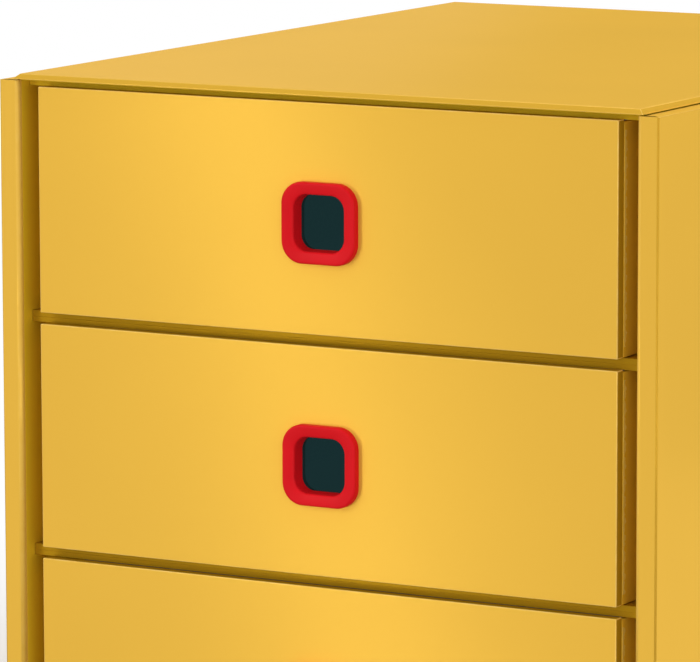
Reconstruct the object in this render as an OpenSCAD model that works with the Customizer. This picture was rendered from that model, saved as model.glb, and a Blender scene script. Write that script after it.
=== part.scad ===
// Desktop cabinet of laminated board with three drawers.
// Frame: X to the right, Y to the back, Z up, drawer fronts face -Y.
// The origin lies under the middle of the cabinet, on the surface it stands on.

/* [Cabinet] */
// Outside width of the cabinet
body_w = 286; // [240:1:360]
// Outside depth from the front strips to the back panel
body_d = 358; // [300:1:420]
// Thickness of a laminated board
board_t = 2.4; // [1.8:0.1:3]
// Thickness of a hollow side wall, which is the width of its front strip
wall_t = 8.8; // [8:0.1:14]
// Rounding of the inner edge of a front strip
strip_round = 1.6; // [0.4:0.1:1.7]
// Depth of the crease between a front strip and the outer wall
crease = 0.4; // [0.2:0.1:0.8]
// Width of the core strips inside a hollow wall
core_w = 14; // [8:1:30]
// Width of the return flaps behind the walls
rear_flap_w = 27; // [20:1:40]

/* [Top panel] */
// Thickness of the top panel at its middle
top_t = 2.1; // [1.6:0.1:4]
// Height of the upright lip below the bevel
top_lip = 0.4; // [0.2:0.1:1]
// Width of the bevel around the top panel
top_bevel = 2; // [1:0.1:6]
// Distance of the rim from the outer faces of the walls
top_inset = 6.6; // [2:0.1:7]
// Thickness of the lining sheet under the top panel
lining_t = 0.5; // [0.3:0.1:1]
// Distance of the lining sheet from the front and the back of the rim
lining_setback = 2; // [1:0.1:2.4]
// Width by which the lining sheet rests on each wall
lining_rest = 1; // [0.5:0.1:2]

/* [Drawers] */
// Height of a drawer front
front_h = 88.6; // [70:0.2:110]
// Height of the slot between two drawer fronts
front_gap = 4.4; // [3.8:0.1:8]
// Height of the slot over the highest drawer front
top_gap = 2.6; // [1.2:0.1:6]
// Width of the slot beside a drawer front
side_gap = 8.2; // [6:0.1:12]
// Distance of the drawer fronts behind the front strips
recess = 1.2; // [0:0.1:3]
// Distance of the top of a drawer's sides and back below the top of its front
side_drop = 1; // [0.8:0.1:8]
// Width of the corner flaps inside a drawer's back
corner_flap_w = 26; // [18:1:40]

/* [Shelves and guides] */
// Distance of a shelf's front edge behind the front strips
shelf_setback = 8; // [4:0.5:20]
// Depth of the rails that double the front edges of the shelves and of the top
rail_d = 8; // [3:0.5:9]
// Clearance between a rail and the drawer under it
rail_fit = 0.6; // [0.4:0.1:0.8]
// Distance of the side guides behind the front strips
guide_setback = 18; // [12:0.5:60]
// Clearance under a drawer
run_z = 0.3; // [0.2:0.1:0.8]
// Clearance between a drawer and a side guide
run_x = 0.6; // [0.3:0.1:1.5]
// Clearance between the studs behind a drawer
run_y = 0.5; // [0.3:0.1:4]
// Clearance at each end of a shelf
shelf_fit = 0.2; // [0.1:0.05:0.4]

/* [Grip ring] */
// Width and height of the finger opening
grip_open = 21.8; // [18:0.2:30]
// Corner radius of the finger opening
grip_corner = 5.7; // [2:0.1:8]
// Width of the ring's band above and below the opening
grip_band = 4.7; // [4.2:0.1:8]
// Width of the ring's band on each side of the opening
grip_band_side = 5.1; // [4.2:0.1:8]
// Corner radius of the ring's outline
grip_outline = 8.6; // [5:0.1:14]
// Height of the ring over the drawer front
grip_proud = 3.2; // [2.6:0.1:5]
// Depth by which the ring's face dips towards the opening
grip_dish = 0.6; // [0:0.1:1.4]
// Rounding of the ring's outer edge
grip_round = 0.8; // [0.4:0.1:1.6]
// Rounding of the ring's inner lip
grip_lip = 1; // [0.4:0.1:1.6]
// Thickness of the sleeve in the drawer front
grip_sleeve = 1.6; // [1.2:0.1:2.2]
// Depth to which the sleeve keeps its thickness
grip_depth = 3.2; // [2:0.1:4]
// Width by which the sleeve narrows the opening at its end
grip_draft = 0.35; // [0:0.05:0.6]
// Clearance between the sleeve and the boards that it passes through
grip_fit = 0.2; // [0.1:0.05:0.4]
// Distance of the ring's middle below the middle of the front
grip_drop = 1.4; // [0:0.1:10]
// Distance of the ring's middle to the right of the middle of the front
grip_shift = 0.6; // [-5:0.1:5]
// Thickness of the clip's flange behind the drawer front
clip_t = 1.6; // [1:0.1:3]
// Width of the clip's flange around the hole in the boards
clip_band = 3.4; // [2:0.1:6]
// Clearance between the clip's collar and the ring
clip_fit = 0.1; // [0.05:0.05:0.2]

/* [Press studs] */
// Diameter of a stud cap
stud_cap_d = 11; // [8:0.5:14]
// Height of a stud cap's straight rim
stud_rim_h = 0.5; // [0.3:0.1:1]
// Height of a stud cap's dome over its rim
stud_dome_h = 1; // [0.5:0.1:2]
// Diameter of the post through the boards
stud_post_d = 3.6; // [2.5:0.1:5]
// Diameter of the socket on the inside
stud_socket_d = 9; // [7:0.5:12]
// Height of the socket on the inside
stud_socket_h = 2; // [1.5:0.1:3]
// Clearance around a post
stud_fit = 0.1; // [0.05:0.05:0.2]

/* [Hidden] */
$fn = 64;

// What a cut runs past the face that it opens, so that no film is left
cut = 1;

// Places across the cabinet
half_w = body_w / 2;
inner_half = half_w - wall_t;
front_half = inner_half - side_gap;
drawer_inner_half = front_half - board_t;
guide_half = front_half + run_x;

// Places along the cabinet: the rings stand out at the front and the stud caps at the back
ring_overhang = max(grip_proud - recess, 0);
stud_cap_h = stud_rim_h + stud_dome_h;
front_y = (ring_overhang - body_d - stud_cap_h) / 2;
back_y = front_y + body_d;
back_inside_y = back_y - board_t;
rear_flap_y = back_inside_y - board_t;
drawer_y = front_y + recess;
front_inside_y = drawer_y + 2 * board_t;
rail_y = max(front_y + shelf_setback, front_inside_y + rail_fit);
guide_y = max(front_y + guide_setback, rail_y + rail_d);
drawer_end_y = rear_flap_y - stud_socket_h - stud_cap_h - run_y;
drawer_back_y = drawer_end_y - board_t;
corner_flap_y = drawer_back_y - board_t;

// Places up the cabinet
side_h = front_h - side_drop;
bay_pitch = front_h + front_gap;
LOWER = 0;
MIDDLE = 1;
UPPER = 2;
function drawer_z(bay) = board_t + run_z + bay * bay_pitch;
function bay_floor_z(bay) = drawer_z(bay) - run_z;
rim_z = drawer_z(UPPER) + front_h + top_gap;
wall_top_z = rim_z - lining_t;
function bay_top_z(bay) = bay == UPPER ? wall_top_z : bay_floor_z(bay + 1) - board_t;
function rail_z(bay) = drawer_z(bay) + side_h + rail_fit;
function grip_z(bay) = drawer_z(bay) + front_h / 2 - grip_drop;

// The press studs: those of the back panel sit in the middle of what the guides leave free of a flap
rear_stud_x = (inner_half - rear_flap_w + guide_half) / 2;
corner_stud_x = drawer_inner_half - corner_flap_w / 2;
rear_stud_heights = [for (bay = [LOWER : UPPER]) drawer_z(bay) + front_h / 2];
function corner_stud_z(bay) = drawer_z(bay) + side_h / 2;
stud_hole_d = stud_post_d + 2 * stud_fit;

// The grip ring: its sleeve halves in thickness at its depth and goes on as a spigot to the back of the front
spigot_t = grip_sleeve / 2;
spigot_h = max(2 * board_t - grip_depth, 0.6);
sleeve_h = 2 * board_t - spigot_h;
grip_hole = grip_open + 2 * (grip_sleeve + grip_fit);
grip_hole_corner = grip_corner + grip_sleeve + grip_fit;

// The ring's outline, and a smaller one inside the opening from which the outline's round edge is drawn
ring_w = grip_open + 2 * grip_band_side;
ring_h = grip_open + 2 * grip_band;
ring_corner = max(grip_outline, grip_band + grip_round, grip_band_side + grip_round);
ring_inset = (max(grip_band, grip_band_side) + ring_corner) / 2;

BOARD_YELLOW = [0.90, 0.70, 0.28];
SHADE_YELLOW = [0.72, 0.55, 0.20];
LINING_SLATE = [0.12, 0.20, 0.20];
GRIP_RED = [0.85, 0.11, 0.13];
CLIP_SLATE = [0.16, 0.22, 0.22];
STUD_METAL = [0.75, 0.75, 0.77];

// Shapes that repeat

// A block between two corners
module block(low, high) {
    translate(low) cube(high - low);
}

// The children, and on the left side their mirror image
module on_side(right) {
    mirror([right ? 0 : 1, 0, 0]) children();
}

// A quarter of a disc around its middle, from angle 0 to 90 degrees, turned
module quarter_disc(radius, turn) {
    rotate(turn) intersection() {
        circle(radius);
        square(radius);
    }
}

// A point at a distance and an angle from the origin
function at_angle(distance, angle) = distance * [cos(angle), sin(angle)];

// The sector of a disc between two angles, which lie less than 120 degrees apart
module sector(radius, from, to) {
    intersection() {
        circle(radius);
        polygon([
            [0, 0], at_angle(2 * radius, from), at_angle(3 * radius, (from + to) / 2),
            at_angle(2 * radius, to)
        ]);
    }
}

// A square with round corners around the origin
module rounded_square(size, radius) {
    straight = size - 2 * radius;
    square([size, straight], center = true);
    square([straight, size], center = true);
    for (x = [-1, 1], y = [-1, 1])
        translate([x * straight / 2, y * straight / 2]) circle(radius);
}

// A drawing in X and Z, pushed from y_low to y_high
module across_y(y_low, y_high) {
    translate([0, y_high, 0]) rotate([90, 0, 0]) linear_extrude(y_high - y_low) children();
}

// A drawing in Y and Z, pushed from x_low to x_high
module across_x(x_low, x_high) {
    translate([x_low, 0, 0]) rotate([90, 0, 90]) linear_extrude(x_high - x_low) children();
}

// Posts of press studs, standing along Y
module stud_posts(diameter, x, heights, y_low, y_high) {
    for (side = [-1, 1], z = heights)
        translate([side * x, y_low, z])
            rotate([-90, 0, 0]) cylinder(d = diameter, h = y_high - y_low);
}

// Domed caps on the outer face at y, with posts that reach the far face of the sockets
module stud_caps(x, heights, y) {
    post_length = 2 * board_t + stud_socket_h;
    cap_r = stud_cap_d / 2;
    dome_r = (cap_r * cap_r + stud_dome_h * stud_dome_h) / (2 * stud_dome_h);
    color(STUD_METAL) for (side = [-1, 1], z = heights)
        translate([side * x, y, z]) rotate([-90, 0, 0]) {
            translate([0, 0, -post_length]) cylinder(d = stud_post_d, h = post_length + stud_rim_h);
            cylinder(d = stud_cap_d, h = stud_rim_h);
            translate([0, 0, stud_rim_h]) intersection() {
                translate([0, 0, stud_dome_h - dome_r]) sphere(dome_r);
                cylinder(d = stud_cap_d + cut, h = stud_dome_h + cut);
            }
        }
}

// Ring sockets on the inner face at y, around the posts
module stud_sockets(x, heights, y) {
    color(STUD_METAL) difference() {
        stud_posts(stud_socket_d, x, heights, y - stud_socket_h, y);
        stud_posts(stud_hole_d, x, heights, y - stud_socket_h - cut, y + cut);
    }
}

// Cabinet

module base_panel() {
    color(BOARD_YELLOW) block([-half_w, front_y, 0], [half_w, back_y, board_t]);
}

module back_panel() {
    color(BOARD_YELLOW) difference() {
        block([-half_w, back_inside_y, board_t], [half_w, back_y, wall_top_z]);
        stud_posts(stud_hole_d, rear_stud_x, rear_stud_heights, back_inside_y - cut, back_y + cut);
    }
}

// Section of the top panel, which bevels towards both rims
module top_section(rim_low, rim_high) {
    polygon([
        [rim_low, rim_z], [rim_high, rim_z], [rim_high, rim_z + top_lip],
        [rim_high - top_bevel, rim_z + top_t], [rim_low + top_bevel, rim_z + top_t],
        [rim_low, rim_z + top_lip]
    ]);
}

module top_panel() {
    rim_half = half_w - top_inset;
    color(BOARD_YELLOW) intersection() {
        across_y(front_y, back_y) top_section(-rim_half, rim_half);
        across_x(-rim_half, rim_half) top_section(front_y, back_y);
    }
}

module top_lining() {
    lining_half = inner_half + lining_rest;
    color(SHADE_YELLOW) block(
        [-lining_half, front_y + lining_setback, wall_top_z],
        [lining_half, back_y - lining_setback, rim_z]);
}

// A wall drawing, measured inwards from the outer face and back from the front strips
module wall_extrusion(right) {
    on_side(right) translate([half_w, front_y, board_t]) mirror([1, 0, 0])
        linear_extrude(wall_top_z - board_t) children();
}

module front_strip(right) {
    round_x = wall_t - strip_round;
    color(BOARD_YELLOW) wall_extrusion(right) {
        polygon([
            [crease, 0], [round_x, 0], [round_x, strip_round], [wall_t, strip_round],
            [wall_t, board_t], [board_t, board_t], [crease, crease]
        ]);
        translate([round_x, strip_round]) quarter_disc(strip_round, -90);
    }
}

module outer_wall(right) {
    color(BOARD_YELLOW) wall_extrusion(right) polygon([
        [0, crease], [crease, crease], [board_t, board_t],
        [board_t, body_d - board_t], [0, body_d - board_t]
    ]);
}

module inner_wall(right) {
    color(BOARD_YELLOW) wall_extrusion(right)
        translate([wall_t - board_t, board_t]) square([board_t, body_d - 2 * board_t]);
}

// Core strips along the top, the bottom and the back of a hollow wall
module wall_core(right) {
    low = [inner_half + board_t, front_y + board_t, board_t];
    high = [half_w - board_t, back_inside_y, wall_top_z];
    color(SHADE_YELLOW) on_side(right) difference() {
        block(low, high);
        block(low + [-cut, -cut, core_w], high + [cut, -core_w, -core_w]);
    }
}

module rear_flap(right) {
    color(BOARD_YELLOW) difference() {
        on_side(right) block([inner_half - rear_flap_w, rear_flap_y, board_t],
                             [inner_half, back_inside_y, wall_top_z]);
        stud_posts(stud_hole_d, rear_stud_x, rear_stud_heights,
                   rear_flap_y - cut, back_inside_y + cut);
    }
}

module rear_stud_caps() {
    stud_caps(rear_stud_x, rear_stud_heights, back_y);
}

module rear_stud_sockets() {
    stud_sockets(rear_stud_x, rear_stud_heights, rear_flap_y);
}

// The shelf that a drawer of the given bay stands on
module shelf(bay) {
    shelf_half = inner_half - shelf_fit;
    color(SHADE_YELLOW) block(
        [-shelf_half, front_y + shelf_setback, bay_floor_z(bay) - board_t],
        [shelf_half, rear_flap_y, bay_floor_z(bay)]);
}

// A strip under the front edge of the board over a drawer, which closes the slot over the drawer's front
module rail(bay) {
    rail_half = inner_half - shelf_fit;
    color(SHADE_YELLOW) block(
        [-rail_half, rail_y, rail_z(bay)], [rail_half, rail_y + rail_d, bay_top_z(bay)]);
}

// A folded channel beside a drawer, which also carries the shelf above
module guide(bay, right) {
    low_z = bay_floor_z(bay);
    high_z = bay_top_z(bay);
    color(SHADE_YELLOW) on_side(right) across_y(guide_y, rear_flap_y) polygon([
        [guide_half, low_z], [inner_half, low_z],
        [inner_half, low_z + board_t], [guide_half + board_t, low_z + board_t],
        [guide_half + board_t, high_z - board_t], [inner_half, high_z - board_t],
        [inner_half, high_z], [guide_half, high_z]
    ]);
}

// Drawers

// A board of the drawer front with the hole for the grip ring
module front_board(bay, y_low) {
    difference() {
        block([-front_half, y_low, drawer_z(bay)],
              [front_half, y_low + board_t, drawer_z(bay) + front_h]);
        translate([grip_shift, 0, grip_z(bay)]) across_y(y_low - cut, y_low + board_t + cut)
            rounded_square(grip_hole, grip_hole_corner);
    }
}

module drawer_front(bay) {
    color(BOARD_YELLOW) front_board(bay, drawer_y);
}

module drawer_front_liner(bay) {
    color(LINING_SLATE) front_board(bay, drawer_y + board_t);
}

module drawer_side(bay, right) {
    color(BOARD_YELLOW) on_side(right) block(
        [drawer_inner_half, front_inside_y, drawer_z(bay)],
        [front_half, drawer_back_y, drawer_z(bay) + side_h]);
}

module drawer_back(bay) {
    color(BOARD_YELLOW) difference() {
        block([-front_half, drawer_back_y, drawer_z(bay)],
              [front_half, drawer_end_y, drawer_z(bay) + side_h]);
        stud_posts(stud_hole_d, corner_stud_x, [corner_stud_z(bay)],
                   drawer_back_y - cut, drawer_end_y + cut);
    }
}

module drawer_bottom(bay) {
    color(LINING_SLATE) block(
        [-drawer_inner_half, front_inside_y, drawer_z(bay)],
        [drawer_inner_half, drawer_back_y, drawer_z(bay) + board_t]);
}

module drawer_corner_flaps(bay) {
    color(LINING_SLATE) difference() {
        for (right = [false, true])
            on_side(right) block(
                [drawer_inner_half - corner_flap_w, corner_flap_y, drawer_z(bay) + board_t],
                [drawer_inner_half, drawer_back_y, drawer_z(bay) + side_h]);
        stud_posts(stud_hole_d, corner_stud_x, [corner_stud_z(bay)],
                   corner_flap_y - cut, drawer_back_y + cut);
    }
}

module drawer_stud_caps(bay) {
    stud_caps(corner_stud_x, [corner_stud_z(bay)], drawer_end_y);
}

module drawer_stud_sockets(bay) {
    stud_sockets(corner_stud_x, [corner_stud_z(bay)], corner_flap_y);
}

// A section that is measured outwards from a rounded outline and forwards from y, taken around that outline
module around(bay, y, width, height, corner) {
    translate([grip_shift, y, grip_z(bay)]) rotate([90, 0, 0])
        for (turn = [0 : 90 : 270]) {
            level = turn % 180 == 0;
            straight = (level ? width : height) - 2 * corner;
            reach = (level ? height : width) / 2;
            rotate(turn) {
                translate([-straight / 2, reach, 0])
                    rotate([90, 0, 90]) linear_extrude(straight) children();
                translate([straight / 2, reach - corner, 0])
                    rotate_extrude(angle = 90) translate([corner, 0]) children();
            }
        }
}

module around_opening(bay, y) {
    around(bay, y, grip_open, grip_open, grip_corner) children();
}

// The band in front of the board: its face rises from the round lip in a straight line, past the outline
module band_section() {
    lip_middle = [grip_lip, grip_proud - grip_dish - grip_lip];
    face_end = [grip_band - 2 * grip_round, grip_proud];
    way = face_end - lip_middle;
    face_angle = atan2(way.y, way.x) + acos(grip_lip / norm(way));
    face_start = lip_middle + at_angle(grip_lip, face_angle);
    slope = (face_end.y - face_start.y) / (face_end.x - face_start.x);
    reach = grip_band + grip_band_side;
    polygon([
        [0, 0], [reach, 0], [reach, face_end.y + slope * (reach - face_end.x)],
        face_start, lip_middle, [0, lip_middle.y]
    ]);
    translate(lip_middle) sector(grip_lip, face_angle, 180);
}

// The sleeve in the front, which narrows a little, and the thinner spigot behind it
module sleeve_section() {
    polygon([[-grip_draft, -sleeve_h], [grip_sleeve, -sleeve_h], [grip_sleeve, 0], [0, 0]]);
    translate([grip_sleeve - spigot_t, -2 * board_t]) square([spigot_t, spigot_h]);
}

// All that lies inside the ring's outline and its round outer edge
module ring_room(bay) {
    inner_w = ring_w - 2 * ring_inset;
    inner_h = ring_h - 2 * ring_inset;
    back = 2 * board_t + cut;
    around(bay, drawer_y, inner_w, inner_h, ring_corner - ring_inset) {
        translate([0, -back]) square([ring_inset, back + grip_proud - grip_round]);
        square([ring_inset - grip_round, grip_proud]);
        translate([ring_inset - grip_round, grip_proud - grip_round]) sector(grip_round, 0, 90);
    }
    translate([grip_shift, drawer_y, grip_z(bay)])
        block([-inner_w / 2, -grip_proud, -inner_h / 2], [inner_w / 2, back, inner_h / 2]);
}

module drawer_grip_ring(bay) {
    color(GRIP_RED) intersection() {
        around_opening(bay, drawer_y) {
            band_section();
            sleeve_section();
        }
        ring_room(bay);
    }
}

// A flange behind the drawer front, with a collar that presses into the ring's spigot
module drawer_grip_clip(bay) {
    color(CLIP_SLATE) around_opening(bay, front_inside_y) {
        translate([0, -clip_t]) square([grip_sleeve + grip_fit + clip_band, clip_t]);
        square([grip_sleeve - spigot_t - clip_fit, spigot_h - clip_fit]);
    }
}

base_panel();
back_panel();
top_panel();
top_lining();
outer_wall(false);  // left_outer_wall
outer_wall(true);  // right_outer_wall
inner_wall(false);  // left_inner_wall
inner_wall(true);  // right_inner_wall
front_strip(false);  // left_front_strip
front_strip(true);  // right_front_strip
wall_core(false);  // left_wall_core
wall_core(true);  // right_wall_core
rear_flap(false);  // left_rear_flap
rear_flap(true);  // right_rear_flap
rear_stud_caps();
rear_stud_sockets();
shelf(UPPER);  // upper_shelf
shelf(MIDDLE);  // lower_shelf
rail(UPPER);  // upper_rail
rail(MIDDLE);  // middle_rail
rail(LOWER);  // lower_rail
guide(UPPER, false);  // upper_left_guide
guide(UPPER, true);  // upper_right_guide
guide(MIDDLE, false);  // middle_left_guide
guide(MIDDLE, true);  // middle_right_guide
guide(LOWER, false);  // lower_left_guide
guide(LOWER, true);  // lower_right_guide
drawer_front(UPPER);  // upper_drawer_front
drawer_front_liner(UPPER);  // upper_drawer_front_liner
drawer_side(UPPER, false);  // upper_drawer_left_side
drawer_side(UPPER, true);  // upper_drawer_right_side
drawer_back(UPPER);  // upper_drawer_back
drawer_bottom(UPPER);  // upper_drawer_bottom
drawer_corner_flaps(UPPER);  // upper_drawer_corner_flaps
drawer_grip_ring(UPPER);  // upper_drawer_grip_ring
drawer_grip_clip(UPPER);  // upper_drawer_grip_clip
drawer_stud_caps(UPPER);  // upper_drawer_stud_caps
drawer_stud_sockets(UPPER);  // upper_drawer_stud_sockets
drawer_front(MIDDLE);  // middle_drawer_front
drawer_front_liner(MIDDLE);  // middle_drawer_front_liner
drawer_side(MIDDLE, false);  // middle_drawer_left_side
drawer_side(MIDDLE, true);  // middle_drawer_right_side
drawer_back(MIDDLE);  // middle_drawer_back
drawer_bottom(MIDDLE);  // middle_drawer_bottom
drawer_corner_flaps(MIDDLE);  // middle_drawer_corner_flaps
drawer_grip_ring(MIDDLE);  // middle_drawer_grip_ring
drawer_grip_clip(MIDDLE);  // middle_drawer_grip_clip
drawer_stud_caps(MIDDLE);  // middle_drawer_stud_caps
drawer_stud_sockets(MIDDLE);  // middle_drawer_stud_sockets
drawer_front(LOWER);  // lower_drawer_front
drawer_front_liner(LOWER);  // lower_drawer_front_liner
drawer_side(LOWER, false);  // lower_drawer_left_side
drawer_side(LOWER, true);  // lower_drawer_right_side
drawer_back(LOWER);  // lower_drawer_back
drawer_bottom(LOWER);  // lower_drawer_bottom
drawer_corner_flaps(LOWER);  // lower_drawer_corner_flaps
drawer_grip_ring(LOWER);  // lower_drawer_grip_ring
drawer_grip_clip(LOWER);  // lower_drawer_grip_clip
drawer_stud_caps(LOWER);  // lower_drawer_stud_caps
drawer_stud_sockets(LOWER);  // lower_drawer_stud_sockets
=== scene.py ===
"""Looks of a desktop drawer organizer of laminated board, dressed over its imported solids."""

import math

import bmesh
import bpy
from bpy.props import FloatProperty, FloatVectorProperty, IntProperty, PointerProperty
from mathutils import Matrix, Vector


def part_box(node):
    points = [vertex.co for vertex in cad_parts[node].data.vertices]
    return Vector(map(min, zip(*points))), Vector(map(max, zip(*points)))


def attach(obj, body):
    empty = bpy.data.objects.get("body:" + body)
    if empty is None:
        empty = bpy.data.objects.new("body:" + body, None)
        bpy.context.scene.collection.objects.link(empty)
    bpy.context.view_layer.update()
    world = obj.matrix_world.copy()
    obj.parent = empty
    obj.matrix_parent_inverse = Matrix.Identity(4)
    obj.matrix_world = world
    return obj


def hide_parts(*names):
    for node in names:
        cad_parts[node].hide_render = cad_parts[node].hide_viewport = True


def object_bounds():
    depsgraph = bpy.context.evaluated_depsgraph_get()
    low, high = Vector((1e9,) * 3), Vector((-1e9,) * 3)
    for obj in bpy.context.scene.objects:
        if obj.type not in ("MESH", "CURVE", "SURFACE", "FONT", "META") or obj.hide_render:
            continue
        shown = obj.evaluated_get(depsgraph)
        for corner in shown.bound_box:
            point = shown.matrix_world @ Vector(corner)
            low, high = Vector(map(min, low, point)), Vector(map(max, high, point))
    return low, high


bl_info = {
    "name": "Desktop drawer organizer",
    "version": (1, 0, 0),
    "blender": (4, 5, 0),
    "location": "View3D > Sidebar > Organizer",
    "description": "Dresses a laminated board cabinet with three drawers over its packed solids",
    "category": "Object",
}

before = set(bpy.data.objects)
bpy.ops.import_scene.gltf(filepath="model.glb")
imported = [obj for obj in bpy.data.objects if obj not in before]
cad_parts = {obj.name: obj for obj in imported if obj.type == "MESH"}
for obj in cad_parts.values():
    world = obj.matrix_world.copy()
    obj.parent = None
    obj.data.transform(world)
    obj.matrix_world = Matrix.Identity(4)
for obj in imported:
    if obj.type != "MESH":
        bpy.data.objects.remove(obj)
CAD_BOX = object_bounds()

CABINET = "cabinet"
LEVELS = ("upper", "middle", "lower")
SIDES = ("left", "right")
IMAGE_WIDTH = 700
WHITE = (1.0, 1.0, 1.0, 1.0)
SATIN = (0.16, 0.195)
MATT = (0.55, 0.68)


def colour(name, description, default):
    """A colour that a user may change."""
    return FloatVectorProperty(
        name=name, description=description, subtype="COLOR", size=3, min=0.0, max=1.0, default=default
    )


def length(name, description, default):
    """A length in metres that a user may change."""
    return FloatProperty(
        name=name, description=description, subtype="DISTANCE", unit="LENGTH",
        min=0.0, default=default, precision=5
    )


def share(name, description, default):
    """A number between 0 and 1 that a user may change."""
    return FloatProperty(
        name=name, description=description, subtype="FACTOR", min=0.0, max=1.0, default=default
    )


def number(name, description, default):
    """A plain number that a user may change."""
    return FloatProperty(name=name, description=description, default=default)


def watts(name, description, default):
    """The power of a light that a user may change."""
    return FloatProperty(
        name=name, description=description, subtype="POWER", unit="POWER", default=default
    )


def degrees(name, description, default):
    """An angle that a user may change."""
    return FloatProperty(
        name=name, description=description, subtype="ANGLE", unit="ROTATION", default=math.radians(default)
    )


class BoardSettings(bpy.types.PropertyGroup):
    """Colours and folds of the laminated boards."""

    cover_yellow: colour("Cover yellow", "Satin cover paper of the boards", (0.80, 0.465, 0.060))
    # Partly painted highlight: pale paper on folds, let in by a scuff noise, stands for both rubbed folds and
    # the light line along a rounded edge
    fold_scuff_and_highlight_yellow: colour("Fold yellow", "Cover paper where it folds round an edge", (0.90, 0.62, 0.17))
    # Painted shade: a darker copy of the cover yellow, for paper seen in the shade of gaps, on shelves,
    # rails, front edges, creases and bevels
    painted_shade_yellow: colour("Shelf yellow", "Paper on shelves, rails and turned edges", (0.45, 0.250, 0.010))
    # Partly painted shade: a copy of the cover yellow with less blue, which paints in the deep yellow of
    # paper in shade, for inner walls, guides, the top lining and the top rail
    wall_painted_shade_hue_yellow: colour("Wall yellow", "Uncoated paper on inner walls and guides", (0.78, 0.510, 0.022))
    # Partly painted shade: a copy of the cover yellow with less blue, which paints in the deep yellow that
    # the drawer sides show in the side gaps
    side_painted_shade_hue_yellow: colour("Side yellow", "Uncoated paper on the drawer sides", (0.80, 0.485, 0.040))
    raw_yellow: colour("Raw edge", "Torn edge of the cover paper on the drawer sides", (0.80, 0.55, 0.085))
    lining_slate: colour("Lining slate", "Paper inside the drawers", (0.020, 0.060, 0.064))
    # Painted glow: the lining gives off this share of its own colour as light, which lifts the dark inside a
    # drawer
    lining_painted_glow: share("Lining lift", "Share of the lining's colour that stays in the dark of a drawer", 0.42)
    gloss: share("Cover gloss", "Strength of the cover paper's satin gloss", 0.09)
    fold_radius: length("Fold radius", "Rounding of a board's wrapped edge", 0.00045)
    front_radius: length("Front fold radius", "Rounding of a drawer front's wrapped edge", 0.0004)
    wall_round: length("Wall round", "Rounding of a side wall's inner front edge", 0.0016)
    crease: length("Crease", "Depth of the crease along a side wall's front edge", 0.0004)
    lining_thickness: length("Lining thickness", "Thickness of the paper inside the drawers", 0.00025)
    lining_drop: length("Lining drop", "Distance of the lining below a drawer's rim", 0.004)


class GripSettings(bpy.types.PropertyGroup):
    """Sizes and colours of the grip rings and their clips."""

    red: colour("Ring red", "Moulded plastic of the rings", (0.70, 0.008, 0.013))
    clip_slate: colour("Clip slate", "Moulded plastic of the clips behind the fronts", (0.022, 0.055, 0.058))
    opening: length("Opening", "Width and height of the finger opening", 0.0218)
    corner: length("Corner radius", "Corner radius of the finger opening", 0.0057)
    band: length("Band", "Width of the ring above and below the opening", 0.0047)
    band_side: length("Side band", "Width of the ring on each side of the opening", 0.0051)
    outline: length("Outline radius", "Corner radius of the ring's outline", 0.0086)
    proud: length("Height", "Height of the ring over the drawer front", 0.0032)
    dish: length("Dish", "Depth by which the ring's face dips towards the opening", 0.0006)
    edge_round: length("Edge rounding", "Rounding of the ring's outer edge", 0.0008)
    lip_round: length("Lip rounding", "Rounding of the ring's inner lip", 0.0010)
    sleeve: length("Sleeve", "Thickness of the sleeve in the drawer front", 0.0016)
    depth: length("Sleeve depth", "Depth to which the sleeve keeps its thickness", 0.0032)
    draft: length("Sleeve draft", "Width by which the sleeve narrows the opening at its end", 0.00035)
    fit: length("Sleeve clearance", "Clearance between the sleeve and the boards", 0.0002)
    clip_flange: length("Clip flange", "Thickness of the clip's flange", 0.0016)
    clip_band: length("Clip band", "Width of the clip's flange around the hole", 0.0034)
    clip_fit: length("Clip clearance", "Clearance between the clip's collar and the ring", 0.0001)
    corner_steps: IntProperty(name="Corner steps", description="Steps in a corner", default=18, min=4)


class StudSettings(bpy.types.PropertyGroup):
    """Sizes and colour of the press studs."""

    metal: colour("Stud metal", "Plated steel of the press studs", (0.62, 0.60, 0.57))
    cap_diameter: length("Cap diameter", "Diameter of a stud's cap", 0.011)
    rim_height: length("Rim height", "Height of a cap's straight rim", 0.0005)
    dome_height: length("Dome height", "Height of a cap's dome over its rim", 0.0010)
    socket_diameter: length("Socket diameter", "Diameter of a stud's socket", 0.009)
    socket_height: length("Socket height", "Height of a stud's socket", 0.002)
    socket_bore: length("Socket bore", "Diameter of the hole in a socket", 0.0038)
    post_diameter: length("Post diameter", "Diameter of the post in a socket", 0.0036)


class StageSettings(bpy.types.PropertyGroup):
    """Camera, floor and light."""

    floor_colour: colour("Floor", "Pale floor under the cabinet", (0.82, 0.82, 0.82))
    surround: number("Surround", "Level of the soft light all round", 0.50)
    surround_fall: number("Surround fall", "How much that light gains overhead and loses from below", 0.30)
    key_power: watts("Key light", "Power of the large soft light", 22.0)
    fill_power: watts("Fill light", "Power of the soft light on the right side", 31.5)
    top_power: watts("Top light", "Power of the soft light overhead", 11.5)
    front_power: watts("Front light", "Power of the wide light beside the camera", 22.0)
    strip_power: watts("Strip light", "Power of the narrow light that gives the fronts their sheen", 2.3)
    rear_power: watts("Rear light", "Power of the low soft light on the left side and the back", 34.0)
    flag_level: share("Flag level", "Level of the grey flag that the top panel's right half mirrors", 0.2)
    strip_lean: degrees("Strip lean", "Lean of the narrow light", 12.3)
    focal_pixels: number("Focal length", "Focal length in image pixels", 5548.89)
    eye: FloatVectorProperty(name="Eye", description="Place of the camera", subtype="TRANSLATION", size=3,
                             default=(1.03519, -1.98273, 0.50093))
    yaw: degrees("Yaw", "Turn of the view to the left", 29.523)
    pitch: degrees("Pitch", "Tilt of the view downwards", 8.488)
    roll: degrees("Roll", "Roll of the camera", -0.139)


# Node trees

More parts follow.
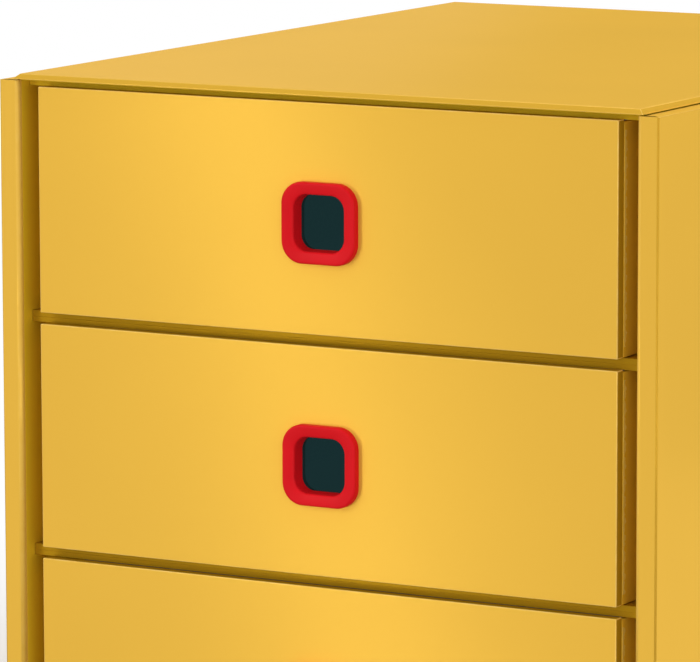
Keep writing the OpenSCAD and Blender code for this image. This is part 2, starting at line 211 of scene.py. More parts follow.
class Bench:
    """Adds nodes to a tree and joins them."""

    def __init__(self, tree):
        self.tree = tree

    def add(self, kind, values=None, **settings):
        """A new node with its settings and what its inputs take."""
        node = self.tree.nodes.new(kind)
        for key, value in settings.items():
            setattr(node, key, value)
        self.feed(node, values or {})
        return node

    def feed(self, node, values):
        """Sets inputs to plain values, or links them to outputs or to the first outputs of other nodes."""
        for key, value in values.items():
            if isinstance(value, bpy.types.Node):
                value = value.outputs[0]
            if isinstance(value, bpy.types.NodeSocket):
                self.join(value, node.inputs[key])
            else:
                node.inputs[key].default_value = value

    def join(self, source, target):
        """A link from an output to an input."""
        self.tree.links.new(source, target)

    def reckon(self, operation, first, second):
        """The output of a sum with two values."""
        return self.add("ShaderNodeMath", {0: first, 1: second}, operation=operation).outputs[0]

    def measure(self, vector):
        """The output that gives a vector's length."""
        return self.add("ShaderNodeVectorMath", {0: vector}, operation="LENGTH").outputs["Value"]


def new_finish(name):
    """A material with its bench, its shader and its Object coordinates."""
    finish = bpy.data.materials.new(name)
    finish.use_nodes = True
    bench = Bench(finish.node_tree)
    shader = finish.node_tree.nodes["Principled BSDF"]
    place = bench.add("ShaderNodeTexCoord").outputs["Object"]
    return finish, bench, shader, place


def grain(bench, place, scale, detail=3.0, roughness=0.55):
    """A noise in the object's own coordinates."""
    return bench.add("ShaderNodeTexNoise", {
        "Vector": place, "Scale": scale, "Detail": detail, "Roughness": roughness}).outputs["Fac"]


def mapped(bench, value, from_low, from_high, to_low, to_high):
    """A value taken from one range to another, held at the ends."""
    return bench.add("ShaderNodeMapRange", {
        "Value": value, "From Min": from_low, "From Max": from_high,
        "To Min": to_low, "To Max": to_high}).outputs["Result"]


def toned(bench, tint, value):
    """A colour whose brightness follows a value."""
    return bench.add("ShaderNodeHueSaturation", {"Color": (*tint, 1.0), "Value": value}).outputs["Color"]


def blended(bench, amount, first, tint):
    """A colour that turns into a tint by an amount."""
    node = bench.add("ShaderNodeMix", {"Factor": amount}, data_type="RGBA")
    colours = [socket for socket in node.inputs if socket.type == "RGBA"]
    colours[1].default_value = (*tint, 1.0)
    bench.join(first, colours[0])
    return next(socket for socket in node.outputs if socket.type == "RGBA")


def ridged(bench, shader, height, strength, depth):
    """Bump from a height, on the shader."""
    bench.feed(shader, {"Normal": bench.add("ShaderNodeBump", {
        "Strength": strength, "Distance": depth, "Height": height})})


def cover_finish(name, tint, scuff_and_highlight_tint, turned_tint, gloss, roughness):
    """Printed cover paper: even colour with a soft cloudiness, folds made pale by scuffs and by a painted
    highlight, and painted shade on marked edges.
    """
    finish, bench, shader, place = new_finish(name)
    cloud = grain(bench, place, 7.0, 2.0)
    fibre = grain(bench, place, 1100.0, 3.0)
    scuff = grain(bench, place, 170.0, 4.0, 0.65)
    fold = bench.add("ShaderNodeAttribute", attribute_name="fold").outputs["Fac"]
    # Faces marked for painted shade take the darker tint
    turned = bench.add("ShaderNodeAttribute", attribute_name="turned").outputs["Fac"]
    # Folds take the pale colour where the scuff noise lets it in: wear and painted highlight together
    scuff_and_highlight = bench.reckon("MULTIPLY", fold, mapped(bench, scuff, 0.36, 0.70, 0.25, 0.85))
    paper = toned(bench, tint, mapped(bench, cloud, 0.3, 0.7, 0.975, 1.015))
    paper = blended(bench, turned, paper, turned_tint)
    bench.feed(shader, {
        "Base Color": blended(bench, scuff_and_highlight, paper, scuff_and_highlight_tint),
        "Roughness": mapped(bench, fibre, 0.3, 0.7, *roughness),
        "Metallic": gloss,
        "Specular IOR Level": 0.0,
    })
    ridged(bench, shader, fibre, 0.02, 0.0001)
    return finish


def plain_paper(name, tint, gloss, roughness):
    """Cover paper in one colour, on folds and on edges marked for painted shade too."""
    return cover_finish(name, tint, tint, tint, gloss, roughness)


def fibre_finish(name, dark, light, scale, dull, painted_glow=0.0):
    """Uncoated paper or raw board with visible fibres, with an optional painted glow in its own colour that
    lifts its deep shade.
    """
    finish, bench, shader, place = new_finish(name)
    fibre = grain(bench, place, scale, 5.0, 0.65)
    cloud = grain(bench, place, 12.0, 2.0)
    paper = toned(bench, dark, mapped(bench, cloud, 0.3, 0.7, 0.92, 1.06))
    bench.feed(shader, {
        "Base Color": blended(bench, mapped(bench, fibre, 0.42, 0.72, 0.0, 0.6), paper, light),
        "Roughness": mapped(bench, fibre, 0.3, 0.7, dull - 0.08, dull + 0.06),
        "Specular IOR Level": 0.25,
        # Painted glow: the paper gives off its own dark colour
        "Emission Color": (*dark, 1.0),
        "Emission Strength": painted_glow,
    })
    finish.cycles.emission_sampling = "NONE"
    ridged(bench, shader, fibre, 0.12, 0.0002)
    return finish


def moulded_finish(name, tint, roughness):
    """Moulded plastic with a fine spark-eroded skin."""
    finish, bench, shader, place = new_finish(name)
    skin = grain(bench, place, 2600.0, 2.0)
    flow = grain(bench, place, 60.0, 2.0)
    bench.feed(shader, {
        "Base Color": toned(bench, tint, mapped(bench, flow, 0.3, 0.7, 0.95, 1.04)),
        "Roughness": mapped(bench, skin, 0.3, 0.7, *roughness),
        "Specular IOR Level": 0.06,
    })
    ridged(bench, shader, skin, 0.06, 0.00005)
    return finish


def plated_finish(name, tint):
    """Plated steel with light handling marks."""
    finish, bench, shader, place = new_finish(name)
    haze = grain(bench, place, 420.0, 4.0, 0.6)
    bench.feed(shader, {
        "Base Color": toned(bench, tint, mapped(bench, haze, 0.3, 0.7, 0.92, 1.04)),
        "Roughness": mapped(bench, haze, 0.3, 0.75, 0.24, 0.42),
        "Metallic": 1.0,
    })
    ridged(bench, shader, haze, 0.04, 0.00005)
    return finish


def finish_for(slot):
    """The material of a slot, made when it is first asked for."""
    if slot in bpy.data.materials:
        return bpy.data.materials[slot]
    boards = bpy.context.scene.organizer_boards
    grips = bpy.context.scene.organizer_grips
    if slot == "laminate_cover":
        return cover_finish(
            slot, boards.cover_yellow, boards.fold_scuff_and_highlight_yellow, boards.painted_shade_yellow, boards.gloss, SATIN)
    # Shelves and rails: the cover paper in the darker tint of painted shade
    if slot == "shelf_painted_shade_paper":
        return plain_paper(slot, boards.painted_shade_yellow, boards.gloss * 1.6, SATIN)
    if slot == "wall_painted_shade_hue_paper":
        return plain_paper(slot, boards.wall_painted_shade_hue_yellow, 0.0, MATT)
    if slot == "side_painted_shade_hue_paper":
        return plain_paper(slot, boards.side_painted_shade_hue_yellow, 0.0, MATT)
    if slot == "raw_edge_paper":
        return fibre_finish(slot, boards.raw_yellow, (0.85, 0.62, 0.15), 900.0, 0.8)
    if slot == "slate_paper":
        return fibre_finish(
            slot, boards.lining_slate, (0.040, 0.095, 0.100), 700.0, 0.78, boards.lining_painted_glow)
    if slot == "red_plastic":
        return moulded_finish(slot, grips.red, (0.36, 0.44))
    if slot == "slate_plastic":
        return moulded_finish(slot, grips.clip_slate, (0.46, 0.56))
    if slot == "plated_steel":
        return plated_finish(slot, bpy.context.scene.organizer_studs.metal)
    raise ValueError(f"no finish is described for {slot}")


# Pieces

def corners(*nodes):
    """Lowest and highest corner of the box round some CAD nodes."""
    boxes = [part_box(node) for node in nodes]
    low = Vector([min(box[0][axis] for box in boxes) for axis in range(3)])
    high = Vector([max(box[1][axis] for box in boxes) for axis in range(3)])
    return low, high


def hand_over(name, mesh, body, finish, slot, *nodes):
    """Puts a finished mesh in the scene, rides it on its body and lets it stand for CAD nodes."""
    mesh.materials.clear()
    mesh.materials.append(finish_for(finish))
    piece = bpy.data.objects.new(name, mesh)
    bpy.context.scene.collection.objects.link(piece)
    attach(piece, body)
    if nodes:
        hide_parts(*nodes)
    return piece


class Shape:
    """A mesh under construction, with a mark on the faces that are folds, which take a pale colour that is
    partly painted highlight, and a mark on the faces that take painted shade.
    """

    def __init__(self):
        self.bm = bmesh.new()
        self.fold = self.bm.faces.layers.float.new("fold")
        self.turned = self.bm.faces.layers.float.new("turned")

    def block(self, low, high, radius):
        """A board between two corners, with its edges rounded."""
        made = bmesh.ops.create_cube(self.bm, size=1.0)
        size = Vector(high) - Vector(low)
        middle = (Vector(high) + Vector(low)) / 2
        for vert in made["verts"]:
            vert.co = middle + Vector([vert.co[axis] * size[axis] for axis in range(3)])
        self.round_off({edge for vert in made["verts"] for edge in vert.link_edges}, radius)

    def round_off(self, edges, radius, segments=3):
        """Rounds edges, shades them smooth and marks them as folds, which take the pale, partly painted
        highlight, with no painted shade.
        """
        made = bmesh.ops.bevel(
            self.bm, geom=list(edges), offset=radius, offset_type="OFFSET", segments=segments, profile=0.5,
            affect="EDGES", clamp_overlap=False)
        for face in made["faces"]:
            face.smooth = True
            face[self.fold] = 1.0
            face[self.turned] = 0.0
        return made["faces"]

    def prism(self, outline, z_low, z_high, rounds):
        """An upright prism over a plan outline. Sides that start at a round step are smooth and marked."""
        rings = [[self.bm.verts.new((x, y, z)) for x, y in outline] for z in (z_low, z_high)]
        self.bm.faces.new(list(reversed(rings[0])))
        self.bm.faces.new(rings[1])
        count = len(outline)
        for step in range(count):
            after = (step + 1) % count
            face = self.bm.faces.new((rings[0][step], rings[0][after], rings[1][after], rings[1][step]))
            if step in rounds:
                face.smooth = True
                face[self.fold], face[self.turned] = rounds[step]

    def holed_board(self, low, high, middle, size, corner, radius):
        """A board across Y with a rounded square hole, its outer edges rounded."""
        hole = rounded_square(size, corner, 12)
        quarter = len(hole) // 4
        half = quarter // 2
        outer = [(low[0], low[2]), (high[0], low[2]), (high[0], high[2]), (low[0], high[2])]
        fronts = []
        for y in (low[1], high[1]):
            rim = [self.bm.verts.new((x, y, z)) for x, z in outer]
            bore = [self.bm.verts.new((middle[0] + x, y, middle[1] + z)) for x, z in hole]
            fronts.append((rim, bore))
        (rim, bore), (back_rim, back_bore) = fronts
        count = len(hole)
        for side in range(4):
            after = (side + 1) % 4
            run = [(side * quarter + half + step) % count for step in range(quarter + 1)]
            self.bm.faces.new([rim[side], rim[after]] + [bore[step] for step in reversed(run)])
            self.bm.faces.new([back_rim[after], back_rim[side]] + [back_bore[step] for step in run])
            # The board's edge faces take painted shade
            edge = self.bm.faces.new((rim[after], rim[side], back_rim[side], back_rim[after]))
            edge[self.turned] = 1.0
        for step in range(count):
            after = (step + 1) % count
            self.bm.faces.new((bore[step], bore[after], back_bore[after], back_bore[step])).smooth = True
        rims = set(rim + back_rim)
        self.bm.normal_update()
        edges = [edge for edge in self.bm.edges if set(edge.verts) <= rims]
        back = max(low[1], high[1]) - 2 * radius
        # The rounded edges at the back lose the pale fold colour and take painted shade instead
        for face in self.round_off(edges, radius):
            if face.calc_center_median().y > back:
                face[self.fold] = 0.0
                face[self.turned] = 1.0

    def welded(self, node):
        """A welded copy of a CAD node, with its flat faces in one piece."""
        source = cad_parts[node].data
        verts = [self.bm.verts.new(vert.co) for vert in source.vertices]
        for polygon in source.polygons:
            self.bm.faces.new([verts[index] for index in polygon.vertices])
        bmesh.ops.remove_doubles(self.bm, verts=self.bm.verts[:], dist=3e-6)
        bmesh.ops.dissolve_limit(
            self.bm, angle_limit=math.radians(0.5), verts=self.bm.verts[:], edges=self.bm.edges[:])
        self.bm.normal_update()

    def sharp_edges(self, least, most=180.0):
        """Edges whose faces turn by an angle between two limits, in degrees."""
        return [edge for edge in self.bm.edges if edge.is_manifold
                and least < math.degrees(edge.calc_face_angle(0.0)) <= most]

    def mesh(self, name):
        """The finished mesh."""
        result = bpy.data.meshes.new(name)
        bmesh.ops.recalc_face_normals(self.bm, faces=self.bm.faces[:])
        self.bm.to_mesh(result)
        self.bm.free()
        return result


def rounded_square(size, corner, steps):
    """Points round a rounded square, anticlockwise, with an even number of steps in each corner."""
    straight = size / 2 - corner
    points = []
    for turn, (x, z) in enumerate(((-1, -1), (1, -1), (1, 1), (-1, 1))):
        for step in range(steps + 1):
            angle = math.pi + (turn + step / steps) * math.pi / 2
            points.append((x * straight + corner * math.cos(angle), z * straight + corner * math.sin(angle)))
    return points


def arc(middle, radius, start, end, steps):
    """Points on an arc between two angles in degrees, both ends included."""
    return [(middle[0] + radius * math.cos(math.radians(start + (end - start) * step / steps)),
             middle[1] + radius * math.sin(math.radians(start + (end - start) * step / steps)))
            for step in range(steps + 1)]


def board_piece(node, body, finish, slot, radius, *more_nodes):
    """A wrapped board in place of a plain CAD board, and of others that it takes in."""
    shape = Shape()
    shape.block(*corners(node, *more_nodes), radius)
    return hand_over(f"{node}_board", shape.mesh(node), body, finish, slot, node, *more_nodes)


class ORGANIZER_OT_cabinet_boards(bpy.types.Operator):
    """Wraps the side walls, the base, the back and the return flaps of the cabinet."""

    bl_idname = "organizer.cabinet_boards"
    bl_label = "Cabinet boards"

    def execute(self, context):
        boards = context.scene.organizer_boards
        for node in ("base_panel", "back_panel", "left_rear_flap", "right_rear_flap"):
            board_piece(node, CABINET, "laminate_cover", "laminate", boards.fold_radius)
        for side in SIDES:
            self.outer_wall(boards, side)
            self.front_strip(boards, side)
            board_piece(f"{side}_inner_wall", CABINET, "wall_painted_shade_hue_paper", "shelf_cover", boards.fold_radius / 2)
        return {"FINISHED"}

    @staticmethod
    def plan(side, outline):
        """An outline measured inwards from the outer face, in the cabinet's own plan."""
        low, high = corners(f"{side}_outer_wall")
        if side == "right":
            return [(high.x - inward, y) for inward, y in outline]
        return [(low.x + inward, y) for inward, y in outline]

    def outer_wall(self, boards, side):
        """The outer board with its mitred, creased front edge and the paper over the top of the wall."""
        node = f"{side}_outer_wall"
        low, high = corners(node)
        inner_low, inner_high = corners(f"{side}_inner_wall")
        board = high.x - low.x
        wall = max(high.x, inner_high.x) - min(low.x, inner_low.x)
        soft = boards.crease * 0.8
        front = low.y
        steps = 4
        outline = arc((soft, front + soft), soft, 270, 180, steps)
        outline += arc((soft, high.y - soft), soft, 180, 90, steps)
        outline += [(board, high.y), (board, front - boards.crease + board), (boards.crease, front)]
        paper = boards.lining_thickness
        shape = Shape()
        # The crease's rounded faces take half the painted shade, which darkens the crease
        rounds = {step: (0.0, 0.5) for step in range(2 * steps + 1) if step != steps}
        shape.prism(self.plan(side, outline), low.z, high.z - paper, rounds)
        sheet = self.plan(side, [(0.0, front), (wall - boards.fold_radius, high.y)])
        xs = sorted(point[0] for point in sheet)
        shape.block((xs[0], front, high.z - paper), (xs[1], high.y, high.z), paper * 0.4)
        hand_over(f"{node}_board", shape.mesh(node), CABINET, "laminate_cover", "laminate",
                  node, f"{side}_wall_core")

    def front_strip(self, boards, side):
        """The strip that closes a wall at the front, with its soft inner edge."""
        node = f"{side}_front_strip"
        low, high = corners(node)
        board = high.y - low.y
        wall = high.x - low.x + boards.crease
        front = low.y
        soft = boards.crease * 0.8
        bend = boards.wall_round
        crease_steps = 4
        bend_steps = 12
        outline = arc((boards.crease + soft, front + soft), soft, 180, 270, crease_steps)
        outline += arc((wall - bend, front + bend), bend, 270, 360, bend_steps)
        outline += [(wall, front + board), (board, front + board), (boards.crease, front + boards.crease)]
        shape = Shape()
        # The crease's rounded faces take half the painted shade; the soft inner bend takes a weak pale fold
        # colour, partly painted highlight
        rounds = {step: (0.0, 0.5) for step in range(crease_steps)}
        rounds.update({crease_steps + 1 + step: (0.3, 0.0) for step in range(bend_steps)})
        shape.prism(self.plan(side, outline), low.z, high.z, rounds)
        hand_over(f"{node}_board", shape.mesh(node), CABINET, "laminate_cover", "laminate", node)


class ORGANIZER_OT_top_panel(bpy.types.Operator):
    """Softens the bevelled top panel and finishes the lining under it."""

    bl_idname = "organizer.top_panel"
    bl_label = "Top panel"

    def execute(self, context):
        radius = context.scene.organizer_boards.fold_radius
        shape = Shape()
        node = "top_panel"
        shape.welded(node)
        for face in shape.bm.faces:
            # The slanting bevel faces take painted shade, so the bevel shows darker than the top and the
            # front
            slanting = 0.3 < face.normal.z < 0.95
            if slanting:
                face[shape.turned] = 0.45
        bevel_edges = shape.sharp_edges(12.0, 45.0)
        # The bevel's rounded edges take a weak pale fold colour, partly painted highlight
        for face in shape.round_off(bevel_edges, radius):
            face[shape.fold] = 0.4
        shape.bm.normal_update()
        square_edges = shape.sharp_edges(50.0)
        shape.round_off(square_edges, radius * 0.3, 2)
        hand_over(f"{node}_board", shape.mesh(node), CABINET, "laminate_cover", "laminate", node)
        # The lining under the top takes the brighter wall paper, painted light in the slot under the rim
        board_piece("top_lining", CABINET, "wall_painted_shade_hue_paper", "shelf_cover", radius * 0.2)
        return {"FINISHED"}


class ORGANIZER_OT_shelves(bpy.types.Operator):
    """Wraps the shelves, the rails under their front edges and the folded guides beside the drawers."""

    bl_idname = "organizer.shelves"
    bl_label = "Shelves, rails and guides"

    def execute(self, context):
        radius = context.scene.organizer_boards.fold_radius
        for node in ["upper_shelf", "lower_shelf"] + [f"{level}_rail" for level in LEVELS]:
            # The top rail takes the brighter wall paper, painted light for its narrow slot; the other rails
            # take painted shade
            finish = "wall_painted_shade_hue_paper" if node == "upper_rail" else "shelf_painted_shade_paper"
            board_piece(node, CABINET, finish, "shelf_cover", radius * 0.25)
        for level in LEVELS:
            for side in SIDES:
                node = f"{level}_{side}_guide"
                shape = Shape()
                shape.welded(node)
                shape.round_off(shape.sharp_edges(60.0), radius)
                hand_over(f"{node}_channel", shape.mesh(node), CABINET, "wall_painted_shade_hue_paper", "shelf_cover", node)
        return {"FINISHED"}


class ORGANIZER_OT_drawer_fronts(bpy.types.Operator):
    """Wraps the two boards of each drawer front as one, with the hole for the grip."""

    bl_idname = "organizer.drawer_fronts"
    bl_label = "Drawer fronts"

    def execute(self, context):
        boards = context.scene.organizer_boards
        grips = context.scene.organizer_grips
        for level in LEVELS:
            node = f"{level}_drawer_front"
            low, high = corners(node, f"{node}_liner")
            shape = Shape()
            shape.holed_board(low, high, *grip_hole(grips, level), boards.front_radius)
            hand_over(f"{node}_board", shape.mesh(node), f"{level}_drawer", "laminate_cover", "laminate",
                      node, f"{node}_liner")
        return {"FINISHED"}


class ORGANIZER_OT_drawer_boxes(bpy.types.Operator):
    """Wraps the sides, back, bottom and corner flaps of each drawer and lines it with paper."""

    bl_idname = "organizer.drawer_boxes"
    bl_label = "Drawer boxes"

    def execute(self, context):
        boards = context.scene.organizer_boards
        for level in LEVELS:
            body = f"{level}_drawer"
            for side in SIDES:
                board_piece(f"{body}_{side}_side", body, "side_painted_shade_hue_paper", "laminate", boards.fold_radius)
            for part in ("back", "bottom"):
                board_piece(f"{body}_{part}", body, "laminate_cover", "laminate", boards.fold_radius)
            self.corner_flaps(boards, body)
            self.lining(context, level, body)
            self.torn_edges(body)
        return {"FINISHED"}

    @staticmethod
    def corner_flaps(boards, body):
        """The flaps that the drawer's back is pressed on to."""
        node = f"{body}_corner_flaps"
        low, high = corners(node)
        stud_high = corners(f"{body}_stud_sockets")[1]
        stud = bpy.context.scene.organizer_studs.socket_diameter
        width = 2 * (high.x - stud_high.x + stud / 2)
        shape = Shape()
        shape.block(low, (low.x + width, high.y, high.z), boards.fold_radius)
        shape.block((high.x - width, low.y, low.z), high, boards.fold_radius)
        hand_over(f"{node}_boards", shape.mesh(node), body, "slate_paper", "lining", node)

    @staticmethod
    def lining(context, level, body):
        """Thin paper on the inside of the drawer, a little below its rim."""
        boards = context.scene.organizer_boards
        grips = context.scene.organizer_grips
        paper = boards.lining_thickness
        soft = paper * 0.3
        low, high = corners(f"{body}_bottom")
        floor_z = high.z
        rim_z = corners(f"{body}_left_side")[1].z - boards.lining_drop
        front_z = corners(f"{body}_front")[1].z - boards.lining_drop
        shape = Shape()
        shape.block((low.x, low.y, floor_z), (high.x, high.y, floor_z + paper), soft)
        shape.block((low.x, low.y, floor_z), (low.x + paper, high.y, rim_z), soft)
        shape.block((high.x - paper, low.y, floor_z), (high.x, high.y, rim_z), soft)
        shape.block((low.x, high.y - paper, floor_z), (high.x, high.y, rim_z), soft)
        shape.holed_board((low.x, low.y, floor_z), (high.x, low.y + paper, front_z),
                          *grip_hole(grips, level), soft)
        hand_over(f"{body}_paper_lining", shape.mesh(f"{body}_lining"), body, "slate_paper", "lining")

    @staticmethod
    def torn_edges(body):
        """The torn edge of the cover paper on each side, just behind the front."""
        paper = 0.00012
        foot, head = 0.004, 0.003
        near, far = 0.00035, 0.0021
        count = 110
        shape = Shape()
        for side in SIDES:
            low, high = corners(f"{body}_{side}_side")
            outside = low.x if side == "left" else high.x
            outwards = -paper if side == "left" else paper
            z_low = low.z + foot
            z_high = high.z - head
            rows = []
            for step in range(count + 1):
                z = z_low + (z_high - z_low) * step / count
                wave = math.sin(z * 900.0)
                wave += 0.7 * math.sin(z * 2130.0 + 1.0)
                wave += 0.5 * math.sin(z * 4700.0 + 2.0)
                y_near = low.y + near + 0.00010 * math.sin(z * 1500.0)
                y_far = low.y + far + 0.0005 * wave
                section = ((-1, y_near), (1, y_near + paper), (1, y_far - paper), (-1, y_far))
                rows.append([shape.bm.verts.new((outside + way * outwards, y, z)) for way, y in section])
            for row, above in zip(rows, rows[1:]):
                for corner in range(4):
                    after = (corner + 1) % 4
                    shape.bm.faces.new((row[corner], row[after], above[after], above[corner]))
            shape.bm.faces.new(list(reversed(rows[0])))
            shape.bm.faces.new(rows[-1])
        hand_over(f"{body}_torn_cover_edges", shape.mesh(f"{body}_edges"), body, "raw_edge_paper", "laminate")


# Pieces that Geometry Nodes make

def grip_middle(level):
    """The middle of a grip's opening, in the plane of the drawer front."""
    low, high = corners(f"{level}_drawer_grip_ring")
    front_low = corners(f"{level}_drawer_front")[0]
    return Vector(((low.x + high.x) / 2, front_low.y, (low.z + high.z) / 2))


def grip_hole(grips, level):
    """Middle, width and corner radius of the hole for a grip's sleeve, in the drawer front."""
    middle = grip_middle(level)
    wall = grips.sleeve + grips.fit
    return (middle.x, middle.z), grips.opening + 2 * wall, grips.corner + wall


def node_group(name, inputs):
    """A geometry tree with named inputs, its bench, what it is given, and its end node."""
    tree = bpy.data.node_groups.new(name, "GeometryNodeTree")
    tree.interface.new_socket("Geometry", in_out="INPUT", socket_type="NodeSocketGeometry")
    for label, kind in inputs:
        tree.interface.new_socket(label, in_out="INPUT", socket_type=f"NodeSocket{kind}")
    tree.interface.new_socket("Geometry", in_out="OUTPUT", socket_type="NodeSocketGeometry")
    bench = Bench(tree)
    return tree, bench, bench.add("NodeGroupInput").outputs, bench.add("NodeGroupOutput")


def finish_tree(bench, shape, finish, result):
    """The end of each tree: instances made real and given their material."""
    real = bench.add("GeometryNodeRealizeInstances", {"Geometry": shape})
    bench.feed(result, {
        "Geometry": bench.add("GeometryNodeSetMaterial", {"Geometry": real, "Material": finish})})


def sweep_tree():
    """Sweeps the object's own outline round a rounded square."""
    tree, bench, given, result = node_group("Rounded square sweep", (
        ("Opening", "Float"), ("Corner Radius", "Float"), ("Corner Steps", "Int"), ("Finish", "Material")))
    square = bench.add("GeometryNodeCurvePrimitiveQuadrilateral", {
        "Width": given["Opening"], "Height": given["Opening"]})
    path = bench.add("GeometryNodeFilletCurve", {
        "Curve": square, "Radius": given["Corner Radius"], "Count": given["Corner Steps"]}, mode="POLY")
    outline = bench.add("GeometryNodeMeshToCurve", {"Mesh": given["Geometry"]})
    swept = bench.add("GeometryNodeCurveToMesh", {"Curve": path, "Profile Curve": outline})
    finish_tree(bench, swept, given["Finish"], result)
    return tree


def on_points(bench, shape, height, points, tilt):
    """A shape on each point, lifted by half its height and tilted by an angle in degrees."""
    painted_glow = bench.add("ShaderNodeCombineXYZ", {"Z": bench.reckon("MULTIPLY", height, 0.5)})
    return bench.add("GeometryNodeInstanceOnPoints", {
        "Points": points,
        "Instance": bench.add("GeometryNodeTransform", {"Geometry": shape, "Translation": painted_glow}),
        "Rotation": (math.radians(tilt), 0.0, 0.0),
    })


def cap_tree():
    """Domed caps with a rolled rim on the object's own points, facing back."""
    tree, bench, given, result = node_group("Press stud caps", (
        ("Cap Diameter", "Float"), ("Rim Height", "Float"), ("Dome Height", "Float"), ("Finish", "Material")))
    radius = bench.reckon("MULTIPLY", given["Cap Diameter"], 0.5)
    disc = bench.add("GeometryNodeMeshCylinder", {
        "Vertices": 48, "Side Segments": 2, "Fill Segments": 10,
        "Radius": radius, "Depth": given["Rim Height"]})
    place = bench.add("GeometryNodeInputPosition")
    parts = bench.add("ShaderNodeSeparateXYZ", {"Vector": place}).outputs
    reach = bench.measure(bench.add("ShaderNodeCombineXYZ", {"X": parts["X"], "Y": parts["Y"]}))
    ratio = bench.add("ShaderNodeMath", {0: reach, 1: radius}, operation="DIVIDE", use_clamp=True)
    dome = bench.add("ShaderNodeFloatCurve", {"Value": ratio})
    curve = dome.mapping.curves[0]
    curve.points[0].location = (0.0, 1.0)
    curve.points[-1].location = (1.0, 0.0)
    for spot, height in ((0.45, 0.90), (0.72, 0.62), (0.80, 0.50), (0.92, 0.36)):
        curve.points.new(spot, height)
    dome.mapping.update()
    rise = bench.reckon("MULTIPLY", dome, given["Dome Height"])
    domed = bench.add("GeometryNodeSetPosition", {
        "Geometry": disc,
        "Selection": bench.reckon("GREATER_THAN", parts["Z"], 0.0),
        "Offset": bench.add("ShaderNodeCombineXYZ", {"Z": rise}),
    })
    smooth = bench.add("GeometryNodeSetShadeSmooth", {"Geometry": domed, "Shade Smooth": True})
    caps = on_points(bench, smooth, given["Rim Height"], given["Geometry"], -90.0)
    finish_tree(bench, caps, given["Finish"], result)
    return tree


def socket_tree():
    """Rounded ring sockets with the end of a post in them, on the object's own points, facing forward."""
    tree, bench, given, result = node_group("Press stud sockets", (
        ("Socket Diameter", "Float"), ("Bore", "Float"), ("Height", "Float"), ("Post Diameter", "Float"),
        ("Finish", "Material")))
    across = bench.reckon("SUBTRACT", given["Socket Diameter"], given["Bore"])
    total = bench.reckon("ADD", given["Socket Diameter"], given["Bore"])
    circle = bench.add("GeometryNodeCurvePrimitiveCircle", {
        "Resolution": 48, "Radius": bench.reckon("MULTIPLY", total, 0.25)})
    section = bench.add("GeometryNodeCurvePrimitiveQuadrilateral", {
        "Width": bench.reckon("MULTIPLY", across, 0.5), "Height": given["Height"]})
    eased = bench.add("GeometryNodeFilletCurve", {
        "Curve": section, "Count": 4, "Radius": 0.0005}, mode="POLY")
    ring = bench.add("GeometryNodeCurveToMesh", {"Curve": circle, "Profile Curve": eased})
    post = bench.add("GeometryNodeMeshCylinder", {
        "Vertices": 32, "Radius": bench.reckon("MULTIPLY", given["Post Diameter"], 0.5),
        "Depth": bench.reckon("MULTIPLY", given["Height"], 0.7)})
    both = bench.add("GeometryNodeJoinGeometry", {
        "Geometry": bench.add("GeometryNodeSetShadeSmooth", {"Geometry": ring, "Shade Smooth": True})})
    bench.feed(both, {"Geometry": post})
    sockets = on_points(bench, both, given["Height"], given["Geometry"], 90.0)
    finish_tree(bench, sockets, given["Finish"], result)
    return tree


def grown(name, points, edges, tree, values):
    """A plain mesh that a tree grows from points and edges."""
    seed = bpy.data.meshes.new(f"{name}_seed")
    seed.from_pydata(points, edges, [])
    holder = bpy.data.objects.new(f"{name}_seed", seed)
    bpy.context.scene.collection.objects.link(holder)
    modifier = holder.modifiers.new(tree.name, "NODES")
    modifier.node_group = tree
    for socket in tree.interface.items_tree:
        if socket.in_out == "INPUT" and socket.name in values:
            modifier[socket.identifier] = values[socket.name]
    graph = bpy.context.evaluated_depsgraph_get()
    result = bpy.data.meshes.new_from_object(holder.evaluated_get(graph), depsgraph=graph)
    result.name = name
    holder.modifiers.remove(modifier)
    bpy.data.objects.remove(holder)
    bpy.data.meshes.remove(seed)
    shape = bmesh.new()
    shape.from_mesh(result)
    bmesh.ops.remove_doubles(shape, verts=shape.verts[:], dist=1e-7)
    bmesh.ops.recalc_face_normals(shape, faces=shape.faces[:])
    shape.to_mesh(result)
    shape.free()
    return result


def ring_outline(grips, front):
    """Section of the ring, outwards from the opening and forwards from the drawer front, in a closed loop."""
    fall = 0.25
    run = grips.band - grips.edge_round
    slope = math.atan((2.0 - fall) * grips.dish / (run - grips.lip_round * 0.65))
    lip_x = grips.lip_round * (1.0 - math.sin(slope))
    lip_z = grips.proud - grips.dish
    spigot = grips.sleeve / 2
    outline = [(0.0, 0.0), (-grips.draft, -grips.depth), (spigot, -grips.depth), (spigot, -front),
               (grips.sleeve, -front), (grips.sleeve, 0.0), (grips.band, 0.0)]
    outline += arc((run, grips.proud - grips.edge_round), grips.edge_round, 0.0, 90.0, 8)
    steps = 12
    for step in range(1, steps + 1):
        part = step / steps
        dip = grips.dish * (fall * part + (1.0 - fall) * part * part)
        outline.append((run + (lip_x - run) * part, grips.proud - dip))
    middle = (lip_x + grips.lip_round * math.sin(slope), lip_z - grips.lip_round * math.cos(slope))
    outline += arc(middle, grips.lip_round, 90.0 + math.degrees(slope), 180.0, 8)[1:]
    return outline


def reach_outline(grips, foot, way):
    """Distance from a point inside the ring's outline to the outline, in a direction of the first quarter."""
    half = Vector((grips.opening / 2 + grips.band_side, grips.opening / 2 + grips.band))
    bend = half - Vector((grips.outline, grips.outline))
    for axis in range(2):
        if way[axis] > 0.0:
            reach = (half[axis] - foot[axis]) / way[axis]
            if foot[1 - axis] + reach * way[1 - axis] <= bend[1 - axis]:
                return reach
    gap = foot - bend
    along = gap.dot(way)
    return math.sqrt(along * along - gap.dot(gap) + grips.outline * grips.outline) - along


